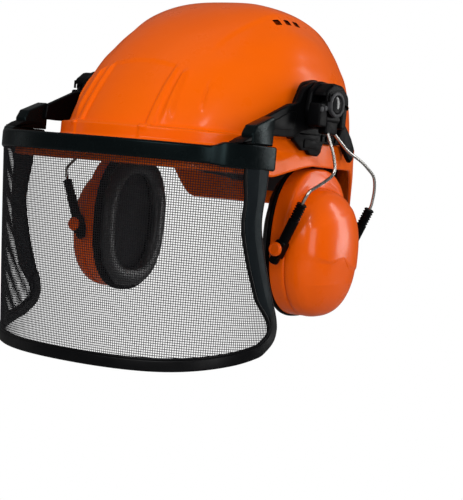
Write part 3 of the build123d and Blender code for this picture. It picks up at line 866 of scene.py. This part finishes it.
ARM_OUTLINE = rounded([(-81, 8.8, 2), (-79.5, 20.5, 3), (-49, 33.8, 5), (-39, 35.5, 4), (-33, 48, 9),
                       (-20, 53.5, 9), (-3, 52, 12), (3, 38, 12), (1, 24, 10), (-12, 19, 6),
                       (-31, 15, 5), (-42, 9.5, 5), (-66, 8.8, 4)], 4, 6)
LEG_OUTLINE = rounded([(-101.5, 0.7, 0.8), (-101.8, 8.0, 3), (-98, 14.3, 3), (-78.5, 22.2, 1.5),
                       (-76.8, 20.5, 1.2), (-76.8, 0.7, 0.8)], 2, 5)
FOOT_OUTLINE = rounded([(-113, 0.6, 0.4), (-107, 4.0, 2), (-100, 6.5, 1), (-84, 6.5, 1), (-84, 0.6, 0.4)],
                       1, 4)
PLATE_OUTLINE = rounded([(-38, 8.6, 1.5), (-37, 22, 5), (-34.5, 37, 9), (-27, 52, 10), (-12, 55.5, 10),
                         (3, 49, 12), (12, 33, 6), (25, 25, 5), (36, 15.5, 3), (38, 8.6, 1.5)], 5, 6)
LIP_OUTLINE = rounded([(-39, 8, 2), (-33, 4.5, 3), (-27, 0.8, 1.8), (-20.5, 1.4, 1.5), (-17, -1.6, 2),
                       (-6, -2.2, 2), (-2.6, 0.6, 2), (-0.8, 7.6, 1.5), (20, 8.2, 1.2), (20, 14, 1.5),
                       (-39, 14, 1.5)], 1.5, 4)
TAIL_OUTLINE = rounded([(22, 22, 2), (27, 24.5, 3), (36.5, 15, 3), (42, 7, 2.5), (41.4, -1.5, 3),
                        (38, -4.5, 1.5), (30, 2.6, 2), (25.4, 8.2, 2), (18, 12, 2)], 2, 5)
HUB_OUTLINE = rounded([(-33.5, 31, 6), (-31, 46, 9), (-21, 54, 9), (-7, 53, 9), (2.4, 45, 9),
                       (4, 33, 9), (0.4, 22, 7), (-10, 18, 5), (-28, 18, 6)], 7, 6)

for name, side in SIDES:
    rib = rounded([(-72, 13), (-70, 19), (-50, 28), (-41, 29), (-44, 15)], 2, 4)
    arm = join(f"visor_arm_{name}", [plate("arm", ARM_OUTLINE, 107, 112, 1.1),
                                     plate("foot", FOOT_OUTLINE, 107.2, 119.5, 0.9),
                                     plate("rib", rib, 111.6, 112.9, 0.5)])
    finish_piece(arm, "visor", BLACK, [f"visor_arm_{name}"], side)
    leg = plate(f"arm_leg_{name}", LEG_OUTLINE, 109.0, 120.2, 1.2)
    finish_piece(leg, "visor", SLATE, [f"visor_arm_{name}"], side)

    parts = [plate("plate", PLATE_OUTLINE, 101.75, 106.6, 0.9),
             plate("blade", rounded(box(-26, -8.9, -4, 12), 1.0, 3), 99.8, 101.3, 0.4),
             plate("neck", rounded(box(-25.9, 8.5, -4.1, 13.9), 0.5, 2), 99.8, 102.0, 0.3),
             plate("lip", LIP_OUTLINE, 106.45, 110.0, 1.0),
             plate("tail", TAIL_OUTLINE, 106.45, 110.4, 1.2),
             plate("latch", rounded([(-26, 3), (-26, 9.5), (-9, 9.5), (-9, 3)], 1.5, 4), 109.6, 110.9, 0.5)]
    parts += [plate("web", rounded(box(y, 9.5, y + 1.6, 15), 0.4, 2), 109.5, 111.0, 0.4)
              for y in (-4, 2, 8, 14)]
    adapter = join(f"side_adapter_{name}", parts)
    finish_piece(adapter, "helmet", BLACK, [f"side_adapter_{name}"], side)

    # Hub: a D-shaped knob in two steps with finger ribs, open below for the wires
    parts = [plate("base", HUB_OUTLINE, 112.5, 117.5, 1.4, 4)]
    for centre, wide in ((-28.4, 10.2), (-1.4, 6.8)):
        block = rounded([(centre - wide / 2, 19.5), (centre - wide / 2, 37), (centre + wide / 2, 37),
                         (centre + wide / 2, 19.5)], 2, 4)
        parts.append(plate("cheek", block, 116.5, 127.6, 1.4, 4))
    crown = [point for point in inset(HUB_OUTLINE, 1.2) if point[1] > 33.0]
    parts.append(plate("crown", rounded([(*p, 1.0) for p in crown[::3]], 1.0, 3), 116.5, 128.9, 2.4, 5))
    parts += [plate("finger", rounded(box(y, 38.4, y + 1.7, 45), 0.6, 3), 128.0, 129.7, 0.6)
              for y in (-29.0, -25.6, -22.2)]
    hub = join(f"hub_knob_{name}", parts)
    finish_piece(hub, f"hub_{name}", BLACK, [f"hub_housing_{name}"], side)
    steps = [plate("step", rounded(box(-33 + 4.4 * k, 30.5 + k, -30 + 4.4 * k, 34.2 + k), 0.7, 3),
                   126.9, 128.6, 0.5) for k in range(3)]
    ring = lathe_x("ring", HUB_Y, HUB_Z + 1, [(127.5, 9.4), (129.9, 9.4), (130.4, 8.6), (130.4, 7.4),
                                              (129.9, 6.9), (127.5, 6.9)])
    cap = join(f"hub_ring_{name}", [ring, *steps])
    finish_piece(cap, f"hub_{name}", HARNESS, [f"hub_cap_{name}"], side)
    pin = lathe_x("pin", HUB_Y, HUB_Z + 1, [(102, 3.9), (128.6, 3.9), (128.9, 6.2), (129.8, 5.9),
                                            (130.4, 4.6), (130.7, 2.4), (130.8, 0.6)])
    finish_piece(pin, "helmet", PIN, [f"hub_pin_{name}"], side)

    shoe = rounded([(-22.6, 14.5), (-7.4, 14.5), (-7.2, 26), (-22.8, 26)], 2, 4)
    yoke = join(f"wire_shoe_{name}", [
        lathe_y("barrel", SWING_X, SWING_Z, [(-23.6, 3.6), (-23.2, 4.4), (-6.8, 4.4), (-6.4, 3.6)]),
        lathe_y("axle", SWING_X, SWING_Z, [(-27, 1.9), (-3, 1.9)], 24),
        plate("shoe", shoe, 119.3, 126.7, 1.4)])
    finish_piece(yoke, f"yoke_{name}", BLACK, [f"yoke_block_{name}"], side)


# ---------------------------------------------------------------- spring wires, sleeves and pivot buttons
def round_path(points, radii, steps=8):
    """3-D path whose corners are rounded with smooth arcs."""
    points = [np.array(p, float) for p in points]
    path = [points[0]]
    for before, here, after, radius in zip(points, points[1:], points[2:], radii):
        a, b = before - here, after - here
        cut = min(radius, 0.48 * np.linalg.norm(a), 0.48 * np.linalg.norm(b))
        start = here + a / np.linalg.norm(a) * cut
        end = here + b / np.linalg.norm(b) * cut
        path += corner_arc(start, here, end, np.linspace(0, 1, steps))
    path.append(points[-1])
    return even(np.array(path), 110)


def sleeve_point(front, travel):
    y = CUP_Y - SLEEVE_OFFSET if front else CUP_Y + SLEEVE_OFFSET
    return np.array((PIVOT_X, y, PIVOT_Z)) + SLIDE * travel


WIRE_ROUTES = {
    "front": [(125, -19, 17), (129, -14, 2), (131, -10, -14), (128, -24, -23), (125, -34, -29)],
    "rear": [(125, -11, 17), (127, 8, 4), (127, 30, -3), (126, 50, -13), (124.5, 54.5, -24)],
}
for name, side in SIDES:
    for place, route in WIRE_ROUTES.items():
        front = place == "front"
        route = [*route, sleeve_point(front, WIRE_BEND), sleeve_point(front, WIRE_TIP)]
        wire = tube(f"wire_{place}_{name}", round_path(route, [5, 8, 8, 7, 2.5]), WIRE_RADIUS, 12)
        finish_piece(wire, f"yoke_{name}", WIRE_STEEL, [f"wire_{place}_{name}"], side)

        # Sleeve: a round tube with a ribbed throat, and a flat lug that carries the button
        stations = [(-12, 2.6), (-11.4, 3.5), (-10, 3.95), (22, 3.95), (24, 4.0)]
        for k in range(6):
            stations += [(25.2 + 2.2 * k, 4.0), (25.7 + 2.2 * k, 3.3), (26.5 + 2.2 * k, 3.3),
                         (27.0 + 2.2 * k, 4.0)]
        stations += [(38.4, 4.0), (39.0, 3.4), (39.0, 1.75), (37.5, 1.5), (3.5, 1.5)]
        across = np.array((0.0, 1.0, 0.0))
        along = SLIDE / np.linalg.norm(SLIDE)
        deep = np.cross(along, across)
        angle = np.linspace(0, 2 * math.pi, 32, endpoint=False)[:, None]
        rings = [sleeve_point(front, t) + r * (np.cos(angle) * across + np.sin(angle) * deep)
                 for t, r in stations]
        body = loft("sleeve_body", rings)
        lug_outline = rounded([(-7.2, -4), (-7.2, 4), (7.2, 4), (7.2, -4)], 2.6, 5)
        centre = sleeve_point(front, 0)
        lug = []
        for y, small in ((-4.2, 0.9), (-3.5, 0.0), (3.5, 0.0), (4.2, 0.9)):
            flat = inset(lug_outline, small)
            lug.append([centre + u * along + v * deep * 1.05 + y * across for u, v in flat])
        sleeve = join(f"sleeve_{place}_{name}", [body, loft("lug", lug)])
        finish_piece(sleeve, f"slider_{name}", BLACK, [f"sleeve_{place}_{name}"], side)

        out = -1 if front else 1
        start = centre[1] + out * 4.1
        button = lathe_y("button", PIVOT_X, PIVOT_Z,
                         [(start - out * 11, 2.3), (start, 2.3), (start, 4.9), (start + out * 0.5, 5.3),
                          (start + out * 2.4, 5.3), (start + out * 3.1, 4.8), (start + out * 3.4, 3.9),
                          (start + out * 3.0, 3.4), (start + out * 3.1, 0.5)])
        button.name = f"button_{place}_{name}"
        finish_piece(button, f"slider_{name}", ORANGE_CUP, [f"pivot_button_{place}_{name}"],
                     side)


# ---------------------------------------------------------------- earmuff cups
def oval(grow_y, grow_z, count, centre_z=CUP_Z, half=(41.0, 57.0), power=2.4):
    angle = 2 * math.pi * (np.arange(count) + 0.5) / count
    y = CUP_Y + (half[0] + grow_y) * signed_power(np.cos(angle), 2 / power)
    z = centre_z + (half[1] + grow_z) * signed_power(np.sin(angle), 2 / power)
    return np.column_stack([y, z])


def cup_relief(y, z):
    """Raised panel with a crisp lower edge on the face of the cup."""
    lower = -79.5 - 0.1 * (y + 20)
    upper = -55.5 + 0.3 * (y + 20)
    panel = ramp(z, lower - 0.6, lower + 0.5) * (1 - ramp(z, upper - 1.0, upper + 4.0))
    step = ramp(y, -33, -25) * (1 - ramp(y, 40, 46))
    line = bump(z, -98 + 0.06 * y, 0.9) * ramp(y, -34, -20) * (1 - ramp(y, 20, 40))
    return 0.9 * panel * step + 0.35 * line


def build_cup():
    """Cup with a side flange, a shelf that widens into a neck at the top, and a domed face."""
    count = 144
    rings = []
    rim = oval(0, 0, count)
    for depth, small in ((0, 0.6), (0.6, 0.0), (5, 0.1), (10.5, 0.3), (12.0, 0.7), (12.9, 1.4),
                         (13.3, 2.3)):
        rings.append(at_x(CUP_BASE + depth, inset(rim, small)))
    face_oval = dict(centre_z=-75.4, half=(38.8, 49.4))
    base = oval(0, 0, count, **face_oval)
    shelf = inset(rim, 2.3)
    for t, depth in ((0.5, 13.6), (0.88, 13.9), (0.97, 14.4)):
        rings.append(at_x(CUP_BASE + depth, shelf + (base - shelf) * t))
    profile = flow([(1.0, 15.0), (0.995, 17.5), (0.965, 22.5), (0.905, 27.2), (0.80, 31.5), (0.665, 35.0),
                    (0.50, 37.4), (0.33, 38.6), (0.16, 39.0), (0.03, 39.1)], 64)
    centre = np.array((CUP_Y, -75.4))
    for squeeze, depth in profile:
        flat = centre + (base - centre) * squeeze
        lift = cup_relief(flat[:, 0], flat[:, 1]) * float(ramp(depth, 22, 30))
        rings.append(at_x(CUP_BASE + depth + lift, flat))
    # Inner wall, back to the rim
    for depth, squeeze in ((35.5, 0.05), (35.4, 0.35), (32.0, 0.60), (26.0, 0.82), (15.0, 0.93),
                           (0.5, 0.945)):
        flat = np.array((CUP_Y, CUP_Z)) + (rim - (CUP_Y, CUP_Z)) * squeeze
        if depth > 14:
            flat = centre + (base - centre) * squeeze * 0.97
        rings.append(at_x(CUP_BASE + depth, flat))
    rings = np.array(rings)
    # The face closes at its centre, the inner wall opens there again
    split = 10 + len(profile)
    faces = ring_faces(split, count)
    faces.append(tuple(range((split - 1) * count, split * count)))
    faces.append(tuple(range(split * count, (split + 1) * count))[::-1])
    faces += ring_faces(len(rings) - split, count, start=split * count)
    last = (len(rings) - 1) * count
    faces += [(j, last + j, last + (j + 1) % count, (j + 1) % count) for j in range(count)]
    piece = mesh_object("cup", rings.reshape(-1, 3), faces)
    outwards(piece)
    sharpen(piece, 30)
    return piece


def ring_piece(name, x_profile, count=96):
    """Oval ring from (x, inset) points that run round its section."""
    rim = oval(0, 0, count)
    rings = [at_x(x, inset(rim, small)) for x, small in x_profile]
    return loft(name, rings, caps=False, closed_way=True)


def inflate(piece, voxel, pressure, cap):
    """Swell a closed piece with a short cloth simulation and apply the result."""
    remesh = piece.modifiers.new("remesh", "REMESH")
    remesh.mode = "VOXEL"
    remesh.voxel_size = voxel
    apply_modifiers(piece)
    before = np.array([v.co[:] for v in piece.data.vertices])
    cloth = piece.modifiers.new("cloth", "CLOTH")
    cloth.settings.use_pressure = True
    cloth.settings.uniform_pressure_force = pressure
    cloth.settings.effector_weights.gravity = 0
    cloth.settings.quality = 6
    for moment in range(1, 21):
        bpy.context.scene.frame_set(moment)
    apply_modifiers(piece)
    bpy.context.scene.frame_set(1)
    after = np.array([v.co[:] for v in piece.data.vertices])
    move = after - before
    length = np.maximum(np.linalg.norm(move, axis=1), 1e-9)
    move *= np.minimum(1, cap / length)[:, None]
    piece.data.vertices.foreach_set("co", (before + move).ravel())
    piece.data.update()
    divide = piece.modifiers.new("divide", "SUBSURF")
    divide.levels = divide.render_levels = 1
    apply_modifiers(piece)
    piece.data.polygons.foreach_set("use_smooth", [True] * len(piece.data.polygons))


BACKPLATE_PROFILE = [(88.1, -0.7), (88.1, 14), (88.4, 15.5), (90.6, 15.5), (90.9, 14), (90.9, -0.7),
                     (90.5, -1.3), (89.5, -1.5), (88.5, -1.3)]
CUSHION_PROFILE = [(87.8, 2.5), (87.8, 17.5), (85.5, 18.6), (82.0, 18.0), (79.8, 15.5), (79.2, 10),
                   (79.8, 4.5), (82.0, 2.2), (85.5, 1.4)]
FOAM_PROFILE = [(104.0, 9.0), (92.0, 9.0), (91.4, 17.0), (91.2, 20.0), (91.6, 26.0), (92.6, 33.0)]

for name, side in SIDES:
    cup = build_cup()
    cup.name = f"cup_{name}"
    finish_piece(cup, f"cup_{name}", ORANGE_CUP, [f"cup_shell_{name}"], side)
    backplate = ring_piece(f"backplate_{name}", BACKPLATE_PROFILE)
    finish_piece(backplate, f"cup_{name}", BLACK, [f"cup_backplate_{name}"], side)
    cushion = ring_piece(f"cushion_{name}", CUSHION_PROFILE)
    inflate(cushion, 0.0045, 4.0, 0.0012)
    finish_piece(cushion, f"cup_{name}", CUSHION, [f"cup_cushion_{name}"], side)
    foam = loft(f"foam_{name}", [at_x(x, oval(-small, -small, 72)) for x, small in FOAM_PROFILE])
    finish_piece(foam, f"cup_{name}", FOAM, [f"cup_foam_{name}"], side)


# ---------------------------------------------------------------- harness
BAND_SIDE, BAND_REACH, BAND_HEIGHT, BAND_TILT = 73.0, 97.0, 24.0, 8.0
STRAP_FOOT, STRAP_REACH, STRAP_RISE = 8.0, 101.5, 78.0


def band_point(angle, grow, height):
    """Point of the tilted head ring at an angle, an offset and a height."""
    side, reach = BAND_SIDE + grow, BAND_REACH + grow
    power = np.where(np.sin(angle) > 0, 2.6, 2.2)
    x = side * signed_power(np.cos(angle), 2 / power)
    y = reach * signed_power(np.sin(angle), 2 / power)
    tilt = math.radians(BAND_TILT)
    return np.stack([x, CENTRE_Y + y * math.cos(tilt) + height * math.sin(tilt),
                     -y * math.sin(tilt) + height * math.cos(tilt)], -1)


def band_angles(low, high, count):
    """Angles that step evenly along the ring between two angles."""
    fine = np.linspace(low, high, 2000)
    run = run_along(band_point(fine, 0, 0))
    return np.interp(np.linspace(0, run[-1], count), run, fine)


def band_piece(name, low, high, section, count=150):
    angles = band_angles(math.radians(low), math.radians(high), count)
    return loft(name, [band_point(a, *np.array(section).T) for a in angles])


half = BAND_HEIGHT / 2
band = band_piece("head_ring", 118.0, 422.0, rounded(
    [(0.1, -half), (0.1, half), (1.5, half), (1.5, half - 2.2), (1.1, half - 3.0), (1.1, -half + 3.0),
     (1.5, -half + 2.2), (1.5, -half)], 0.3, 2))
finish_piece(band, "helmet", HARNESS, ["headband"])

# Sweatband: a soft pad with a stitched edge, folded over the front of the ring
pad = band_piece("sweatband_pad", 192.0, 348.0, rounded(
    [(-0.5, -half - 2.4), (-4.6, -half - 1.6), (-4.8, half + 1.6), (-0.5, half + 2.4)], 1.8, 4), 90)
inflate(pad, 0.004, 2.0, 0.0008)
finish_piece(pad, "helmet", LEATHER, ["sweatband"])


def stitches(name, low, high, height, grow, pitch=4.2, length=2.6):
    """Row of thread stitches along the sweatband."""
    total = int(180 / pitch)
    parts = []
    for k in range(total):
        a = band_angles(math.radians(low), math.radians(high), 2 * total + 1)[2 * k:2 * k + 2]
        ends = [band_point(each, grow, height) for each in a]
        thread = even(np.array([ends[0], (ends[0] + ends[1]) / 2, ends[1]]), 4)
        parts.append(tube("stitch", thread, 0.35, 6))
    return join(name, parts)


for label, height in (("upper", half - 1.5), ("lower", -half + 1.5)):
    finish_piece(stitches(f"sweatband_stitches_{label}", 196, 344, height, -5.0), "helmet", THREAD,
                 ["sweatband"])


def strap(name, turn, lift):
    """Webbing tape that arches over the head, with its own UV for the weave."""
    count, across = 120, 9
    angle = np.linspace(0.02, math.pi - 0.02, count)
    along = np.array((math.cos(math.radians(turn)), math.sin(math.radians(turn)), 0))
    wide = np.array((-along[1], along[0], 0))
    top, under = [], []
    for a in angle:
        centre = np.array((0, CENTRE_Y, STRAP_FOOT)) + along * (STRAP_REACH - 0.3) * math.cos(a)
        centre[2] += (STRAP_RISE + lift - 0.2) * math.sin(a)
        out = along * math.cos(a) / STRAP_REACH + np.array((0, 0, math.sin(a) / (STRAP_RISE + lift)))
        out /= np.linalg.norm(out)
        for rows, depth, droop in ((top, 0.0, 0.15), (under, -1.0, -0.15)):
            rows.append([centre + wide * w + out * (depth - droop * abs(w / 9.5) ** 4)
                         for w in np.linspace(-9.8, 9.8, across)])
    rings = np.concatenate([np.array(top), np.array(under)[:, ::-1]], 1)
    piece = loft(name, rings)
    layer = piece.data.uv_layers.new(name="weave")
    run = run_along(np.array(top)[:, 4])
    columns = np.r_[np.linspace(0, 19.6, across), np.linspace(19.6, 0, across)]
    for loop in piece.data.loops:
        row, column = divmod(loop.vertex_index, 2 * across)
        layer.data[loop.index].uv = (columns[column], run[row])
    return piece


for number, turn, lift in ((1, 50.0, 0.0), (2, -50.0, 2.4)):
    finish_piece(strap(f"cradle_tape_{number}", turn, lift), "helmet", TAPE, [f"cradle_strap_{number}"])

# Small moulded pieces keep their CAD shape, with their edges broken
for node, material in (("harness_hooks", HARNESS), ("ratchet_housing", HARNESS), ("ratchet_knob", BLACK),
                       ("ratchet_pinion", HARNESS), ("rack_strip_left", HARNESS),
                       ("rack_strip_right", HARNESS)):
    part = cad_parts[node]
    for place in part.material_slots:
        place.link = "OBJECT"
        place.material = material
    weld = part.modifiers.new("weld", "WELD")
    weld.merge_threshold = 0.00001
    edge = part.modifiers.new("edge", "BEVEL")
    edge.width = 0.0004
    edge.segments = 2
    edge.limit_method = "ANGLE"
    edge.angle_limit = math.radians(35)


# ---------------------------------------------------------------- floor, lights and camera
def studio_white(name, level):
    """Matt white floor that the camera sees evenly lit, as a lit paper sweep is."""
    material = bpy.data.materials.new(name)
    material.use_nodes = True
    tree = material.node_tree
    shader = tree.nodes["Principled BSDF"]
    shader.inputs["Base Color"].default_value = (level, level, level, 1)
    shader.inputs["Roughness"].default_value = 1.0
    shader.inputs["Specular IOR Level"].default_value = 0.0
    seen = tree.nodes.new("ShaderNodeLightPath")
    glow = tree.nodes.new("ShaderNodeEmission")
    mix = tree.nodes.new("ShaderNodeMixShader")
    tree.links.new(seen.outputs["Is Camera Ray"], mix.inputs["Fac"])
    tree.links.new(shader.outputs["BSDF"], mix.inputs[1])
    tree.links.new(glow.outputs["Emission"], mix.inputs[2])
    tree.links.new(mix.outputs["Shader"], tree.nodes["Material Output"].inputs["Surface"])
    return material


FLOOR_Z = -420                  # well below the helmet, which is shown as if it were worn


def build_floor():
    """Wide plain floor with a rim that rises far away."""
    rings = [(0.01, 0.0), (1.0, 0.0), (4.0, 0.0), (9.0, 0.0), (14.0, 0.6), (18.0, 3.0), (20.0, 8.0)]
    vertices, faces, around = [], [], 64
    for radius, rise in rings:
        for k in range(around):
            a = 2 * math.pi * k / around
            vertices.append((1000 * radius * math.cos(a), 1000 * radius * math.sin(a),
                             1000 * rise + FLOOR_Z))
    faces = ring_faces(len(rings), around)
    faces.append(tuple(range(around))[::-1])
    floor = mesh_object("studio_floor", vertices, faces)
    floor.data.materials.append(studio_white("studio_white", 0.45))


build_floor()

world = bpy.data.worlds.new("studio")
bpy.context.scene.world = world
world.use_nodes = True
world.node_tree.nodes["Background"].inputs["Color"].default_value = (1, 1, 1, 1)
world.node_tree.nodes["Background"].inputs["Strength"].default_value = 0.22


def softbox(name, place, aim, size, power, colour=(1, 1, 1)):
    light = bpy.data.lights.new(name, "AREA")
    light.shape = "RECTANGLE"
    light.size, light.size_y = size
    light.energy = power
    light.color = colour
    lamp = add_object(name, light)
    lamp.location = place
    lamp.rotation_euler = (Vector(aim) - Vector(place)).to_track_quat("-Z", "Y").to_euler()


def around(azimuth, elevation, distance):
    """Point at a direction from the helmet; azimuth 0 is straight ahead of the wearer."""
    a, e = math.radians(azimuth), math.radians(elevation)
    return (distance * math.sin(a) * math.cos(e), -distance * math.cos(a) * math.cos(e),
            distance * math.sin(e))


softbox("key", around(8, 24, 2.2), (0, 0, -0.03), (1.3, 0.9), 27)
softbox("near_side", around(64, 8, 2.2), (0, 0, -0.05), (0.7, 1.2), 17)
softbox("rear_strip", around(141, 16, 1.9), (0.1, 0, -0.02), (0.35, 1.5), 17)
softbox("far_strip", around(-70, 0, 2.0), (-0.1, -0.1, -0.02), (0.5, 1.0), 0.8)
softbox("spark", around(52, 34, 1.8), (0.05, -0.08, 0), (0.10, 0.10), 2.5)
softbox("top", around(-60, 75, 2.0), (0, 0, 0), (1.4, 1.4), 2.5)

AZIMUTH, ELEVATION, ROLL = math.radians(38.0), math.radians(2.5), math.radians(5.36)
TARGET = Vector((0.018, 0.01664, -0.08206))
DISTANCE = 1.3
LENS, SENSOR = 116.064, 36.0              # millimetres
back = Vector((math.sin(AZIMUTH) * math.cos(ELEVATION), -math.cos(AZIMUTH) * math.cos(ELEVATION),
               math.sin(ELEVATION)))
right = (-back).cross(Vector((0, 0, 1))).normalized()
upward = right.cross(-back)
rolled_right = math.cos(ROLL) * right + math.sin(ROLL) * upward
rolled_up = -math.sin(ROLL) * right + math.cos(ROLL) * upward
lens = bpy.data.cameras.new("camera")
lens.lens = LENS
lens.sensor_width = SENSOR
lens.clip_end = 60
camera = add_object("camera", lens)
turn = Matrix((rolled_right, rolled_up, back)).transposed().to_4x4()
camera.matrix_world = Matrix.Translation(TARGET + back * DISTANCE) @ turn
bpy.context.scene.camera = camera
bpy.context.scene.view_settings.view_transform = "Standard"
